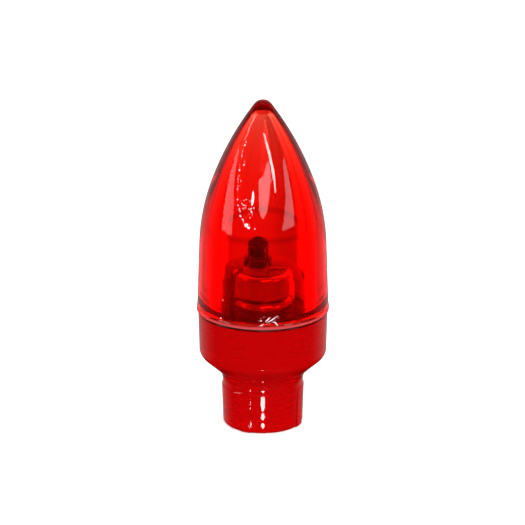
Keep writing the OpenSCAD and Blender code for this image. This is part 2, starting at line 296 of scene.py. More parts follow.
def new_piece(name, mesh, material, body, replaces=None, sharp=35.0):
    """Puts a mesh in the scene as a piece that rides on a body."""
    mesh.validate()
    for polygon in mesh.polygons:
        polygon.use_smooth = True
    mesh.set_sharp_from_angle(angle=math.radians(sharp))
    piece = bpy.data.objects.new(name, mesh)
    bpy.context.scene.collection.objects.link(piece)
    mesh.materials.append(material)
    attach(piece, body)
    if replaces:
        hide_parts(*replaces)


def finished(shaped, name):
    """A mesh of the shaped form, with its faces turned outwards."""
    bmesh.ops.recalc_face_normals(shaped, faces=shaped.faces)
    mesh = bpy.data.meshes.new(name)
    shaped.to_mesh(mesh)
    shaped.free()
    return mesh


def skin_rings(shaped, rings):
    """Faces between neighbouring rings of points, and one face over each end."""
    for low, high in zip(rings, rings[1:]):
        for j in range(len(low)):
            k = (j + 1) % len(low)
            shaped.faces.new((low[j], low[k], high[k], high[j]))
    shaped.faces.new(rings[0])
    shaped.faces.new(list(reversed(rings[-1])))


def lathe(name, outline, columns=COLUMNS, shape=None, centre=(0.0, 0.0)):
    """Turns an outline round the vertical axis. shape(r, z, angle) may move a point in or
    out. An outline that starts and ends away from the axis is closed into a ring."""
    shaped = bmesh.new()
    angles = [2 * math.pi * j / columns for j in range(columns)]
    rings = []
    for r, z in outline:
        if r < EXACT:
            rings.append([shaped.verts.new((centre[0] * MM, centre[1] * MM, z * MM))])
            continue
        ring = []
        for a in angles:
            radius = shape(r, z, a) if shape else r
            x = centre[0] + radius * math.cos(a)
            y = centre[1] + radius * math.sin(a)
            ring.append(shaped.verts.new((x * MM, y * MM, z * MM)))
        rings.append(ring)
    closed = len(rings[0]) > 1 and len(rings[-1]) > 1
    pairs = list(zip(rings, rings[1:])) + ([(rings[-1], rings[0])] if closed else [])
    for low, high in pairs:
        for j in range(columns):
            k = (j + 1) % columns
            if len(low) == 1:
                shaped.faces.new((low[0], high[j], high[k]))
            elif len(high) == 1:
                shaped.faces.new((low[j], low[k], high[0]))
            else:
                shaped.faces.new((low[j], low[k], high[k], high[j]))
    return finished(shaped, name)


def mark(mesh, name, share):
    """Keeps share(r, z) at each point under a name that the materials read."""
    marks = mesh.attributes.new(name, "FLOAT", "POINT")
    for point in mesh.vertices:
        x, y, z = point.co / MM
        marks.data[point.index].value = share(math.hypot(x, y), z)


def thread_rise(z, angle, pitch):
    """Height of a 60 degree thread, from 0 at its root to 1 at its crest."""
    phase = (z / pitch - angle / (2 * math.pi)) % 1.0
    off_crest = abs(phase - 0.5)
    crest_half, flank = 0.09, 0.29
    share = min(1.0, max(0.0, (off_crest - crest_half) / flank))
    return 0.5 + 0.5 * math.cos(math.pi * share)


def fade(z, low, high, length):
    """1 between low and high, falling smoothly to 0 over a length inside both ends."""
    inside = min(z - low, high - z) / length
    share = min(1.0, max(0.0, inside))
    return share * share * (3 - 2 * share)


# Outlines

def stem_outline():
    return arc(STEM_FOOT_R - FOOT_ROUND, FOOT_ROUND, FOOT_ROUND, -90, 0, 6) + [
        (STEM_TOP_R, STEM_H - STEM_EDGE_H),
        (STEM_TOP_R - STEM_EDGE_W, STEM_H),
        (NECK_R, STEM_H + STEM_STEP),
    ]


def body_outline():
    """Neck, cone, belly and side of the base, up to its rim."""
    cone = math.radians(CONE_ANGLE)
    neck_z = STEM_H + STEM_STEP + NECK_H
    flare_r = NECK_R + NECK_ROUND * (1 - math.cos(cone))
    flare_z = neck_z + NECK_ROUND * math.sin(cone)
    round_r = BODY_LOW_R - BODY_ROUND * (1 - math.cos(cone))
    round_z = flare_z + (round_r - flare_r) / math.tan(cone)
    body_low_z = round_z + BODY_ROUND * math.sin(cone)
    hollow = arc(NECK_R + NECK_ROUND, neck_z, NECK_ROUND, 180, 180 - CONE_ANGLE)
    belly = arc(BODY_LOW_R - BODY_ROUND, body_low_z, BODY_ROUND, -CONE_ANGLE, 0)
    side = wall(
        (BODY_LOW_R, body_low_z + 0.4), (BODY_R, FLANGE_Z - RIM_BEVEL - 0.1), SIDE_STEP
    )
    rim = arc(BODY_R - RIM_BEVEL, FLANGE_Z - RIM_BEVEL, RIM_BEVEL, 0, 90, 5)
    return hollow + belly + side + rim


def base_outline():
    """From the top of the valve socket, over the outside, to the middle of the cup's floor."""
    socket = [
        (0.0, VALVE_DEPTH + VALVE_CONE_H),
        (VALVE_CREST_R / 2, VALVE_DEPTH + VALVE_CONE_H),
    ]
    socket += wall((VALVE_CREST_R, VALVE_DEPTH), (VALVE_CREST_R, VALVE_BEVEL), VALVE_STEP)
    socket += [(VALVE_CREST_R + VALVE_BEVEL, 0.0)]
    cup_r = COLLAR_R + THREAD_CLEAR
    cup_z = COLLAR_END - COLLAR_ROOM
    seat_r = HOLDER_R + HOLDER_CLEAR
    cup = [(cup_r + RIM_BEVEL, FLANGE_Z)]
    cup += wall((cup_r, FLANGE_Z - RIM_BEVEL), (cup_r, cup_z), THREAD_STEP)
    cup += wall((seat_r, cup_z), (seat_r, HOLDER_FOOT), WALL_STEP)
    return socket + stem_outline() + body_outline() + cup + [(0.0, HOLDER_FOOT)]


def holder_outline():
    """From the middle of the holder's underside, over its rim to the middle of its floor."""
    foot = HOLDER_FOOT + HOLDER_GAP
    floor = CHAMBER_Z - HOLDER_GAP
    outside = arc(HOLDER_R - HOLDER_BEVEL, foot + HOLDER_BEVEL, HOLDER_BEVEL, -90, 0, 5)
    outside += arc(HOLDER_R - HOLDER_BEVEL, HOLDER_TOP - HOLDER_BEVEL, HOLDER_BEVEL, 0, 90, 5)
    chamber = [(CHAMBER_R + CHAMBER_EDGE, HOLDER_TOP), (CHAMBER_R, HOLDER_TOP - CHAMBER_EDGE)]
    return [(0.0, foot)] + outside + chamber + [(CHAMBER_R, floor), (0.0, floor)]


def rib_rise(angle):
    """How far a grip rib stands out at this angle."""
    degrees = math.degrees(angle)
    for i in range(RIB_COUNT):
        off = abs((degrees - RIB_START - i * 360 / RIB_COUNT + 180) % 360 - 180)
        if off <= RIB_SPAN / 2:
            return RIB_PROUD
    return 0.0


def shape_base(r, z, angle):
    """Cuts the turns of both threads into the base, and raises the stem's grip ribs."""
    if z > HOLDER_FOOT and abs(r - COLLAR_R - THREAD_CLEAR) < EXACT:
        rise = thread_rise(z, angle, THREAD_PITCH)
        cut = fade(z, COLLAR_END - COLLAR_ROOM, FLANGE_Z, THREAD_RUN_OUT)
        return r - THREAD_DEPTH * (1 - rise) * cut
    if z < VALVE_DEPTH and abs(r - VALVE_CREST_R) < EXACT:
        rise = thread_rise(z, angle, VALVE_PITCH)
        cut = fade(z, VALVE_BEVEL, VALVE_DEPTH, THREAD_RUN_OUT)
        return r + (VALVE_ROOT_R - VALVE_CREST_R) * rise * cut
    inner = STEM_FOOT_R - FOOT_ROUND - ON_FACE
    if inner < r < STEM_TOP_R + ON_FACE and z < STEM_H + ON_FACE:
        return r + rib_rise(angle) * min(1.0, (STEM_H - z) / RIB_END_H + RIB_END_SHARE)
    return r


def open_slot(mesh):
    """Cuts the slot for the side lead through the holder's wall, from its floor up, and
    closes the cut with two side faces and a floor."""
    shaped = bmesh.new()
    shaped.from_mesh(mesh)
    low = CHAMBER_Z * MM
    half = SLOT_W / 2 * MM
    near = 1e-7
    for place, normal in (((0, half, 0), (0, 1, 0)), ((0, -half, 0), (0, -1, 0))):
        bmesh.ops.bisect_plane(
            shaped, geom=shaped.verts[:] + shaped.edges[:] + shaped.faces[:],
            plane_co=place, plane_no=normal,
        )
    gone = []
    for face in shaped.faces:
        middle = face.calc_center_median()
        reach = math.hypot(middle.x, middle.y)
        in_slot = middle.x < 0 and abs(middle.y) < half
        if in_slot and middle.z > low and reach > (CHAMBER_R - 0.1) * MM:
            gone.append(face)
    bmesh.ops.delete(shaped, geom=gone, context="FACES")
    rim = {point for edge in shaped.edges if edge.is_boundary for point in edge.verts}
    for level in (half, -half):
        side = [point for point in rim if abs(point.co.y - level) < near]
        x = sum(point.co.x for point in side) / len(side)
        z = sum(point.co.z for point in side) / len(side)
        side.sort(key=lambda point: math.atan2(point.co.z - z, point.co.x - x))
        shaped.faces.new(side)
    floor = [point for point in rim if point.co.z < low]
    middle = (CHAMBER_R + HOLDER_R) / 2 * MM
    outer = [point for point in floor if math.hypot(point.co.x, point.co.y) > middle]
    inner = [point for point in floor if point not in outer]
    outer.sort(key=lambda point: point.co.y)
    inner.sort(key=lambda point: -point.co.y)
    shaped.faces.new(outer + inner)
    bmesh.ops.recalc_face_normals(shaped, faces=shaped.faces)
    shaped.to_mesh(mesh)
    shaped.free()
    return mesh


def ogive():
    """The cover's two arcs and its blunt tip, from the shoulder upwards."""
    draft = math.atan((COVER_R - SHOULDER_R) / (SHOULDER_Z - FLANGE_Z))
    low_r = SHOULDER_R - OGIVE_R * math.cos(draft)
    low_z = SHOULDER_Z - OGIVE_R * math.sin(draft)
    a = math.radians(OGIVE_ANGLE)
    meet_r = low_r + OGIVE_R * math.cos(a)
    meet_z = low_z + OGIVE_R * math.sin(a)
    tip_z = COVER_TOP - TIP_ROUND
    rise = meet_z - tip_z
    upper = (rise ** 2 + meet_r ** 2 - TIP_ROUND ** 2) / (
        2 * (rise * math.sin(a) + meet_r * math.cos(a) - TIP_ROUND)
    )
    up_r = meet_r - upper * math.cos(a)
    up_z = meet_z - upper * math.sin(a)
    tip_angle = math.degrees(math.atan2(tip_z - up_z, -up_r))
    lower = arc(low_r, low_z, OGIVE_R, math.degrees(draft), OGIVE_ANGLE, 24)
    higher = arc(up_r, up_z, upper, OGIVE_ANGLE, tip_angle, 36)[1:]
    tip = arc(0.0, tip_z, TIP_ROUND, tip_angle, 90, 14)[1:-1]
    return lower + higher + tip + [(0.0, COVER_TOP)]


def hollow_arc():
    """The arc that the hollow follows from its top down to the bore."""
    out, drop = BORE_R - HOLLOW_TIP_R, HOLLOW_TOP - BORE_TOP
    half = math.hypot(out, drop) / 2
    tilt = math.atan2(out, drop)
    depth = math.sqrt(HOLLOW_ARC_R ** 2 - half ** 2)
    span = math.degrees(math.asin(half / HOLLOW_ARC_R))
    middle_r = (BORE_R + HOLLOW_TIP_R) / 2 - depth * math.cos(tilt)
    middle_z = (HOLLOW_TOP + BORE_TOP) / 2 - depth * math.sin(tilt)
    tilt = math.degrees(tilt)
    return arc(middle_r, middle_z, HOLLOW_ARC_R, tilt + span, tilt - span, 40)


def cover_outline():
    """From the top of the hollow down to the collar's end, then outside up to the tip."""
    recess_r = reach_of("seal_ring") + SEAL_ROOM
    recess_top = top_of("seal_ring") + SEAL_ROOM
    hollow = [(0.0, HOLLOW_TOP), (HOLLOW_TIP_R - 0.15, HOLLOW_TOP)]
    hollow += hollow_arc()[1:]
    hollow += wall((BORE_R, BORE_TOP - 0.3), (BORE_R, COLLAR_END + COLLAR_BEVEL), WALL_STEP)
    hollow += [
        (BORE_R + COLLAR_BEVEL, COLLAR_END),
        (COLLAR_R - THREAD_DEPTH - 0.1, COLLAR_END),
    ]
    collar = wall((COLLAR_R, COLLAR_END + 0.1), (COLLAR_R, recess_top - 0.02), THREAD_STEP)
    shoulder = [(COLLAR_R + 0.02, recess_top), (recess_r, recess_top), (recess_r, COVER_Z)]
    lip = arc(LIP_R - RIM_BEVEL, COVER_Z + RIM_BEVEL, RIM_BEVEL, -90, 0, 5)
    lip += [(LIP_R, COVER_Z + LIP_BAND - 0.02), (LIP_R, COVER_Z + LIP_BAND + 0.04)]
    lip += [(LIP_R, COVER_Z + LIP_H - RIM_BEVEL), (COVER_R, COVER_Z + LIP_H)]
    side = wall((COVER_R, COVER_Z + LIP_H + 0.1), ogive()[0], WALL_STEP)[:-1]
    return hollow + collar + shoulder + lip + side + ogive()


def shape_cover(r, z, angle):
    """Cuts the turns of the thread into the cover's collar."""
    if z < FLANGE_Z + 1.0 and abs(r - COLLAR_R) < EXACT:
        rise = thread_rise(z, angle, THREAD_PITCH)
        return r - THREAD_DEPTH * (1 - rise * fade(z, COLLAR_END, COVER_Z, THREAD_RUN_OUT))
    return r


# Shader groups

def group(name, inputs, outputs):
    """An empty shader node group with named inputs and outputs."""
    tree = bpy.data.node_groups.new(name, "ShaderNodeTree")
    for label, kind, value in inputs:
        socket = tree.interface.new_socket(label, in_out="INPUT", socket_type=kind)
        socket.default_value = value
    for label, kind in outputs:
        tree.interface.new_socket(label, in_out="OUTPUT", socket_type=kind)
    return tree, tree.nodes.new("NodeGroupInput"), tree.nodes.new("NodeGroupOutput")


def add_node(tree, kind, **settings):
    node = tree.nodes.new(kind)
    for key, value in settings.items():
        setattr(node, key, value)
    return node


def maths(tree, operation, first, second=None):
    node = add_node(tree, "ShaderNodeMath", operation=operation)
    for index, value in enumerate((first, second)):
        if value is None:
            continue
        if isinstance(value, (int, float)):
            node.inputs[index].default_value = value
        else:
            tree.links.new(value, node.inputs[index])
    return node.outputs[0]


def mapped(tree, value, low, high, to_low=0.0, to_high=1.0):
    """Leads a value smoothly from one range to another."""
    node = add_node(tree, "ShaderNodeMapRange", interpolation_type="SMOOTHSTEP")
    tree.links.new(value, node.inputs["Value"])
    node.inputs["From Min"].default_value = low
    node.inputs["From Max"].default_value = high
    node.inputs["To Min"].default_value = to_low
    node.inputs["To Max"].default_value = to_high
    return node.outputs["Result"]


def noise(tree, place, scale, detail=2.0):
    node = add_node(tree, "ShaderNodeTexNoise")
    node.inputs["Scale"].default_value = scale
    node.inputs["Detail"].default_value = detail
    tree.links.new(place, node.inputs["Vector"])
    return node


def blended(tree, share, first, second):
    """The first colour where share is 0, and the second one where it is 1."""
    node = add_node(tree, "ShaderNodeMix", data_type="RGBA")
    node.inputs[6].default_value = first
    node.inputs[7].default_value = second
    tree.links.new(share, node.inputs[0])
    return node.outputs[2]


def darker(colour, share):
    return tuple(part * share for part in colour[:3]) + (1.0,)


def handling_marks():
    """Fine hairline scratches and smudges: a mask, a roughness and a height."""
    tree, given, put = group(
        "handling_marks",
        [
            ("Smooth", "NodeSocketFloat", 0.03),
            ("Marked", "NodeSocketFloat", 0.25),
            ("Amount", "NodeSocketFloat", 0.5),
        ],
        [
            ("Roughness", "NodeSocketFloat"),
            ("Mask", "NodeSocketFloat"),
            ("Height", "NodeSocketFloat"),
        ],
    )
    place = add_node(tree, "ShaderNodeTexCoord")
    bend = noise(tree, place.outputs["Object"], 160.0)
    cells = add_node(tree, "ShaderNodeTexVoronoi", feature="DISTANCE_TO_EDGE")
    cells.inputs["Scale"].default_value = 330.0
    stretch = add_node(tree, "ShaderNodeMapping")
    stretch.inputs["Scale"].default_value = (1.0, 1.0, 0.35)
    stretch.inputs["Rotation"].default_value = (0.3, 0.5, 0.2)
    shifted = add_node(tree, "ShaderNodeVectorMath", operation="MULTIPLY_ADD")
    tree.links.new(bend.outputs["Color"], shifted.inputs[0])
    shifted.inputs[1].default_value = (0.003, 0.003, 0.003)
    tree.links.new(place.outputs["Object"], shifted.inputs[2])
    tree.links.new(shifted.outputs[0], stretch.inputs["Vector"])
    tree.links.new(stretch.outputs[0], cells.inputs["Vector"])
    hair = mapped(tree, cells.outputs["Distance"], 0.0, 0.012, 1.0, 0.0)
    patch = noise(tree, place.outputs["Object"], 420.0, 3.0)
    where = mapped(tree, patch.outputs["Fac"], 0.55, 0.7)
    lines = maths(tree, "MULTIPLY", maths(tree, "MULTIPLY", hair, where), given.outputs["Amount"])
    smudge = mapped(tree, bend.outputs["Fac"], 0.5, 0.75, 0.0, 0.12)
    mask = maths(tree, "ADD", lines, maths(tree, "MULTIPLY", smudge, given.outputs["Amount"]))
    span = maths(tree, "SUBTRACT", given.outputs["Marked"], given.outputs["Smooth"])
    rough = maths(tree, "ADD", given.outputs["Smooth"], maths(tree, "MULTIPLY", span, mask))
    tree.links.new(rough, put.inputs["Roughness"])
    tree.links.new(mask, put.inputs["Mask"])
    tree.links.new(maths(tree, "MULTIPLY", lines, -1.0), put.inputs["Height"])
    return tree


def moulding_flow():
    """Soft waves left by the moulding, as a height."""
    tree, given, put = group(
        "moulding_flow",
        [("Scale", "NodeSocketFloat", 120.0), ("Stretch", "NodeSocketFloat", 0.4)],
        [("Height", "NodeSocketFloat")],
    )
    place = add_node(tree, "ShaderNodeTexCoord")
    split = add_node(tree, "ShaderNodeSeparateXYZ")
    tree.links.new(place.outputs["Object"], split.inputs[0])
    joined = add_node(tree, "ShaderNodeCombineXYZ")
    tree.links.new(split.outputs["X"], joined.inputs["X"])
    tree.links.new(split.outputs["Y"], joined.inputs["Y"])
    stretched = maths(tree, "MULTIPLY", split.outputs["Z"], given.outputs["Stretch"])
    tree.links.new(stretched, joined.inputs["Z"])
    waves = noise(tree, joined.outputs[0], 120.0, 1.0)
    tree.links.new(given.outputs["Scale"], waves.inputs["Scale"])
    tree.links.new(waves.outputs["Fac"], put.inputs["Height"])
    return tree


MARKS = handling_marks()
FLOW = moulding_flow()
# Near-black red that paints shade: the groove between the cover and the base, and the bore by the
# lamp, are darkened towards it.
PAINTED_SHADE_COLOUR = (0.03, 0.0, 0.0, 1.0)
HAIRLINE = 0.01 * MM
GRAIN = 0.004 * MM


def place_group(tree, made, **values):
    node = add_node(tree, "ShaderNodeGroup", node_tree=made)
    for key, value in values.items():
        node.inputs[key].default_value = value
    return node


def new_material(name):
    material = bpy.data.materials.new(name)
    material.use_nodes = True
    tree = material.node_tree
    return material, tree, tree.nodes["Principled BSDF"]


def bump(tree, height, distance, strength=1.0, under=None):
    node = add_node(tree, "ShaderNodeBump")
    node.inputs["Distance"].default_value = distance
    node.inputs["Strength"].default_value = strength
    tree.links.new(height, node.inputs["Height"])
    if under is not None:
        tree.links.new(under, node.inputs["Normal"])
    return node.outputs["Normal"]


def clear_plastic(
    name, ior, tint, density, marks, wave_depth, wave_scale,
    frost=0.0, clearness=1.0, colour=(1.0, 1.0, 1.0, 1.0),
):
    """Clear plastic that is dyed right through: thick places are deeper in colour.

    Points with the mark frosted have a dull face, as moulded threads do. The second mark paints
    shade: where it is set, the colour is darkened towards near-black.
    """
    material, tree, skin = new_material(name)
    # The second mark paints shade into the colour.
    shade_mark = add_node(tree, "ShaderNodeAttribute", attribute_name="painted_shade")
    shade = blended(tree, shade_mark.outputs["Fac"], colour, PAINTED_SHADE_COLOUR)
    tree.links.new(shade, skin.inputs["Base Color"])
    skin.inputs["Transmission Weight"].default_value = clearness
    skin.inputs["IOR"].default_value = ior
    worn = place_group(tree, MARKS, Smooth=0.012, Marked=0.3, Amount=marks)
    dull = add_node(tree, "ShaderNodeAttribute", attribute_name="frosted")
    added = maths(tree, "MULTIPLY", dull.outputs["Fac"], frost)
    rough = maths(tree, "ADD", worn.outputs["Roughness"], added)
    tree.links.new(rough, skin.inputs["Roughness"])
    flow = place_group(tree, FLOW, Scale=wave_scale, Stretch=0.35)
    waves = bump(tree, flow.outputs["Height"], wave_depth)
    lines = bump(tree, worn.outputs["Height"], HAIRLINE, strength=0.6, under=waves)
    tree.links.new(lines, skin.inputs["Normal"])
    dye = add_node(tree, "ShaderNodeVolumeAbsorption")
    dye.inputs["Color"].default_value = tint
    dye.inputs["Density"].default_value = density
    tree.links.new(dye.outputs[0], tree.nodes["Material Output"].inputs["Volume"])
    return material


def metal(name, colour, smooth, marked):
    """Plated or plain metal with fine drawn grain and handling marks."""
    material, tree, skin = new_material(name)
    skin.inputs["Metallic"].default_value = 1.0
    worn = place_group(tree, MARKS, Smooth=smooth, Marked=marked, Amount=1.0)
    tree.links.new(worn.outputs["Roughness"], skin.inputs["Roughness"])
    place = add_node(tree, "ShaderNodeTexCoord")
    fine = noise(tree, place.outputs["Object"], 900.0, 4.0)
    grain = mapped(tree, fine.outputs["Fac"], 0.3, 0.7)
    tree.links.new(blended(tree, grain, darker(colour, 0.82), colour), skin.inputs["Base Color"])
    tree.links.new(bump(tree, fine.outputs["Fac"], GRAIN), skin.inputs["Normal"])
    return material


def dull_plastic(name, colour, smooth, marked):
    """Plastic, rubber or glue that no light passes, a little darker where it is marked."""
    material, tree, skin = new_material(name)
    worn = place_group(tree, MARKS, Smooth=smooth, Marked=marked, Amount=0.8)
    tree.links.new(worn.outputs["Roughness"], skin.inputs["Roughness"])
    shade = blended(tree, worn.outputs["Mask"], colour, darker(colour, 0.75))
    tree.links.new(shade, skin.inputs["Base Color"])
    tree.links.new(bump(tree, worn.outputs["Height"], HAIRLINE), skin.inputs["Normal"])
    return material


MOULDED = {"ior": 1.49, "marks": 0.5, "wave_depth": 0.006 * MM, "wave_scale": 130.0}
COVER_DYE = {"tint": (0.9985, 0.17, 0.03, 1.0), "density": 1300.0}
COVER_PLASTIC = clear_plastic("clear_red_plastic", frost=0.8, **COVER_DYE, **MOULDED)
# The lip's band: a scuffed, frosted face, with a diffuse share of paler red that paints the
# highlight along the lip.
LIP_PAINTED_HIGHLIGHT = clear_plastic(
    "scuffed_lip_painted_highlight", frost=0.5, clearness=0.55, colour=(0.7, 0.035, 0.045, 1.0),
    **COVER_DYE, **MOULDED,
)
BASE_PLASTIC = clear_plastic(
    "crimson_plastic", tint=(0.985, 0.02, 0.04, 1.0), density=1000.0,
    frost=0.9, clearness=0.65, colour=(0.67, 0.001, 0.002, 1.0), **MOULDED,
)
HOLDER_PLASTIC = clear_plastic(
    "soft_clear_holder", ior=1.04, tint=(0.85, 0.85, 0.85, 1.0), density=300.0,
    marks=0.3, wave_depth=0.01 * MM, wave_scale=300.0,
)
LENS_PLASTIC = clear_plastic(
    "smoked_lens_plastic", ior=1.53, tint=(0.3, 0.45, 0.8, 1.0), density=900.0,
    marks=0.2, wave_depth=0.004 * MM, wave_scale=300.0,
)
SEAL_RUBBER = dull_plastic("soft_seal_rubber", (0.95, 0.55, 0.52, 1.0), 0.45, 0.7)
CELL_STEEL = metal("nickel_plated_can", (0.85, 0.84, 0.8, 1.0), 0.2, 0.45)
CONTACT_STEEL = metal("nickel_plated_contact", (0.72, 0.7, 0.64, 1.0), 0.25, 0.5)
PIN_BRASS = metal("bright_brass", (0.83, 0.62, 0.28, 1.0), 0.2, 0.45)
LEAD_WIRE = metal("tinned_lead", (0.62, 0.62, 0.6, 1.0), 0.35, 0.6)
RING_PLASTIC = dull_plastic("white_ring_plastic", (0.85, 0.85, 0.8, 1.0), 0.4, 0.7)
# Pale, opaque glue: the colour paints the glints of its drops.
GLUE_PAINTED_GLINTS = dull_plastic("glue_painted_glints", (0.9, 0.62, 0.68, 1.0), 0.12, 0.3)
SLEEVE_PLASTIC = dull_plastic("grey_sleeve_plastic", (0.95, 0.93, 0.88, 1.0), 0.35, 0.6)


# Pieces

def base_frost(r, z):
    """Dull faces inside the base: the valve socket, the holder's seat and the cup's thread."""
    in_socket = r < VALVE_ROOT_R + MARK_ROOM
    in_cup = HOLDER_FOOT - MARK_ROOM < z < FLANGE_Z - JOINT_ROOM and r < COLLAR_R + CUP_ROOM
    return THREAD_FROST if in_socket or in_cup else 0.0


def cover_frost(r, z):
    """Dull faces of the cover: the collar's thread, the lip and, a little, the bore."""
    if z < FLANGE_Z - JOINT_ROOM and r > BORE_R + MARK_ROOM:
        return THREAD_FROST
    if r > COVER_R - MARK_ROOM and z < COVER_Z + LIP_BAND:
        return LIP_FROST
    return BORE_FROST if abs(r - BORE_R) < ON_FACE and z < BORE_TOP else 0.0


def painted_shade_share(r, z):
    """Painted shade: darkening in the groove between the cover and the base, and in the bore by
    the lamp.
    """
    if r > BODY_R - MARK_ROOM and abs(z - FLANGE_Z) < RIM_BEVEL + 0.02:
        return JOINT_GROOVE_SHADE
    # Painted shade in the bore round the lamp, darker near the bore's top.
    if abs(r - BORE_R) < ON_FACE and z > HOLDER_TOP - PAINTED_SHADE_REACH:
        return BORE_PAINTED_SHADE if z < BORE_TOP - PAINTED_SHADE_REACH else BORE_TOP_PAINTED_SHADE
    return 0.0


def make_base():
    mesh = lathe("base_moulding", base_outline(), shape=shape_base)
    mark(mesh, "frosted", base_frost)
    mark(mesh, "painted_shade", painted_shade_share)
    new_piece("base_moulding", mesh, BASE_PLASTIC, "base", ["base"])


def make_cover():
    """The cover in clear plastic, with a scuffed face round its lip, where a paler diffuse share
    paints a highlight band.
    """
    mesh = lathe("cover_moulding", cover_outline(), shape=shape_cover)
    mark(mesh, "frosted", cover_frost)
    mark(mesh, "painted_shade", painted_shade_share)
    new_piece("cover_moulding", mesh, COVER_PLASTIC, "cover", ["cover"])
    # The band round the lip takes the material with the painted highlight.
    mesh.materials.append(LIP_PAINTED_HIGHLIGHT)
    for polygon in mesh.polygons:
        x, y, z = polygon.center / MM
        in_band = COVER_Z + MARK_ROOM < z < COVER_Z + LIP_BAND + 0.05
        if in_band and math.hypot(x, y) > COVER_R - 0.02:
            polygon.material_index = 1


def on_cover(azimuth, z):
    """A point on the cover's outside and its normal. azimuth is from the front to the right."""
    rows = [(COVER_R, COVER_Z + LIP_H)] + ogive()
    heights = [row[1] for row in rows]
    radii = [row[0] for row in rows]
    r = float(np.interp(z, heights, radii))
    near = 0.2
    above, below = np.interp(z + near, heights, radii), np.interp(z - near, heights, radii)
    slope = float(above - below) / (2 * near)
    a = math.radians(azimuth)
    normal = Vector((math.sin(a), -math.cos(a), -slope)).normalized()
    return Vector((math.sin(a) * r, -math.cos(a) * r, z)), normal


def add_bead(made, azimuth, z, radius):
    """A flat drop on the cover's outside."""
    place, normal = on_cover(azimuth, z)
    turn = normal.to_track_quat("Z", "Y").to_matrix().to_4x4()
    flat = Matrix.Diagonal((radius * MM, radius * MM, radius * GLUE_FLATNESS * MM, 1.0))
    bmesh.ops.create_icosphere(
        made, subdivisions=2, radius=1.0, matrix=Matrix.Translation(place * MM) @ turn @ flat
    )


def add_trail(made, places, radius):
    """A thin flat thread of glue on the cover's outside, pointed at both ends."""
    rings = []
    for i, (azimuth, z) in enumerate(places):
        place, normal = on_cover(azimuth, z)
        ahead = on_cover(*places[min(i + 1, len(places) - 1)])[0]
        behind = on_cover(*places[max(i - 1, 0)])[0]
        side = (ahead - behind).cross(normal).normalized()
        size = radius * (GLUE_THREAD_END if i in (0, len(places) - 1) else 1.0)
        ring = []
        for step in range(6):
            t = math.radians(60 * step)
            up = normal * size * GLUE_FLATNESS * math.sin(t)
            ring.append(made.verts.new((place + side * size * math.cos(t) + up) * MM))
        rings.append(ring)
    skin_rings(made, rings)


def make_glue_marks():
    """Dried glue on the cover, pale and opaque so that its colour paints the drops' glints: a run
    of fine drops and a few threads above the joint.
    """
    made = bmesh.new()
    draw = random.Random(GLUE_SEED)
    for (a0, z0), (a1, z1) in zip(GLUE_RUN, GLUE_RUN[1:]):
        for i in range(RUN_BEADS):
            share = (i + draw.random()) / RUN_BEADS
            off = draw.uniform(-RUN_SPREAD, RUN_SPREAD)
            azimuth = a0 + (a1 - a0) * share + off
            add_bead(made, azimuth, z0 + (z1 - z0) * share, draw.uniform(*RUN_BEAD_R))
    for azimuth, z, radius in GLUE_DROPS:
        add_bead(made, azimuth, z, radius)
    for left, right, low, high, count in GLUE_SPRAY:
        for i in range(count):
            azimuth, z = draw.uniform(left, right), draw.uniform(low, high)
            add_bead(made, azimuth, z, draw.uniform(*SPRAY_BEAD_R))
    for radius, places in GLUE_THREADS:
        add_trail(made, places, radius)
    mesh = finished(made, "glue_marks")
    new_piece("glue_marks", mesh, GLUE_PAINTED_GLINTS, "cover", None, sharp=60.0)


def make_holder():
    mesh = open_slot(lathe("holder_cup", holder_outline()))
    new_piece("holder_cup", mesh, HOLDER_PLASTIC, "base", ["cell_holder"])


def make_seal():
    low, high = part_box("seal_ring")
    thick = (high.z - low.z) / MM
    middle_r = high.x / MM - thick / 2
    middle_z = low.z / MM + thick / 2
    outline = arc(middle_r, middle_z, thick / 2, 0, 360, 24)[:-1]
    mesh = lathe("soft_seal", outline, columns=CELL_COLUMNS)
    new_piece("soft_seal", mesh, SEAL_RUBBER, "seal", ["seal_ring"], sharp=80.0)


def cell_outline(low):
    """A button cell, from the middle of its small pole to the middle of its flat top."""
    pole_r, pole_h, pole_edge = 3.05, 0.25, 0.08
    groove_w, groove_low, groove_high = 0.25, 0.05, 0.3
    edge, shoulder, dish_rim, dish_r, dish_depth = 0.3, 0.85, 0.95, 1.05, 0.04
    pole_top, top = low + pole_h, low + CELL_H
    return (
        [(0.0, low), (pole_r - pole_edge, low), (pole_r, low + pole_edge)]
        + [(pole_r, pole_top + groove_high), (pole_r + groove_w, pole_top + groove_high)]
        + [(pole_r + groove_w, pole_top + groove_low)]
        + arc(CELL_R - edge, pole_top + edge, edge, -90, 0, 8)
        + arc(CELL_R - shoulder, top - shoulder, shoulder, 0, 90, 14)
        + [(CELL_R - dish_rim, top), (CELL_R - dish_r, top - dish_depth)]
        + [(0.0, top - dish_depth)]
    )


def make_cells():
    for name in ("cell_lower", "cell_middle", "cell_upper"):
        mesh = lathe(name + "_can", cell_outline(foot_of(name)), columns=CELL_COLUMNS)
        new_piece(name + "_can", mesh, CELL_STEEL, "base", [name])


def make_lens():
    flange_top = LAMP_LOW + LAMP_FLANGE_H
    outline = [
        (0.0, LAMP_LOW),
        (LAMP_FLANGE_R - LAMP_EDGE, LAMP_LOW),
        (LAMP_FLANGE_R, LAMP_LOW + LAMP_EDGE),
        (LAMP_FLANGE_R, flange_top - LAMP_EDGE),
        (LAMP_FLANGE_R - LAMP_EDGE, flange_top),
        (LAMP_R, flange_top),
    ]
    outline += arc(0.0, LAMP_TOP - LAMP_R, LAMP_R, 0, 90, 20)[:-1] + [(0.0, LAMP_TOP)]
    mesh = lathe("lens_bulb", outline, columns=LENS_COLUMNS, centre=(LAMP_X, 0.0))
    new_piece("lens_bulb", mesh, LENS_PLASTIC, "base", ["lamp_lens"])


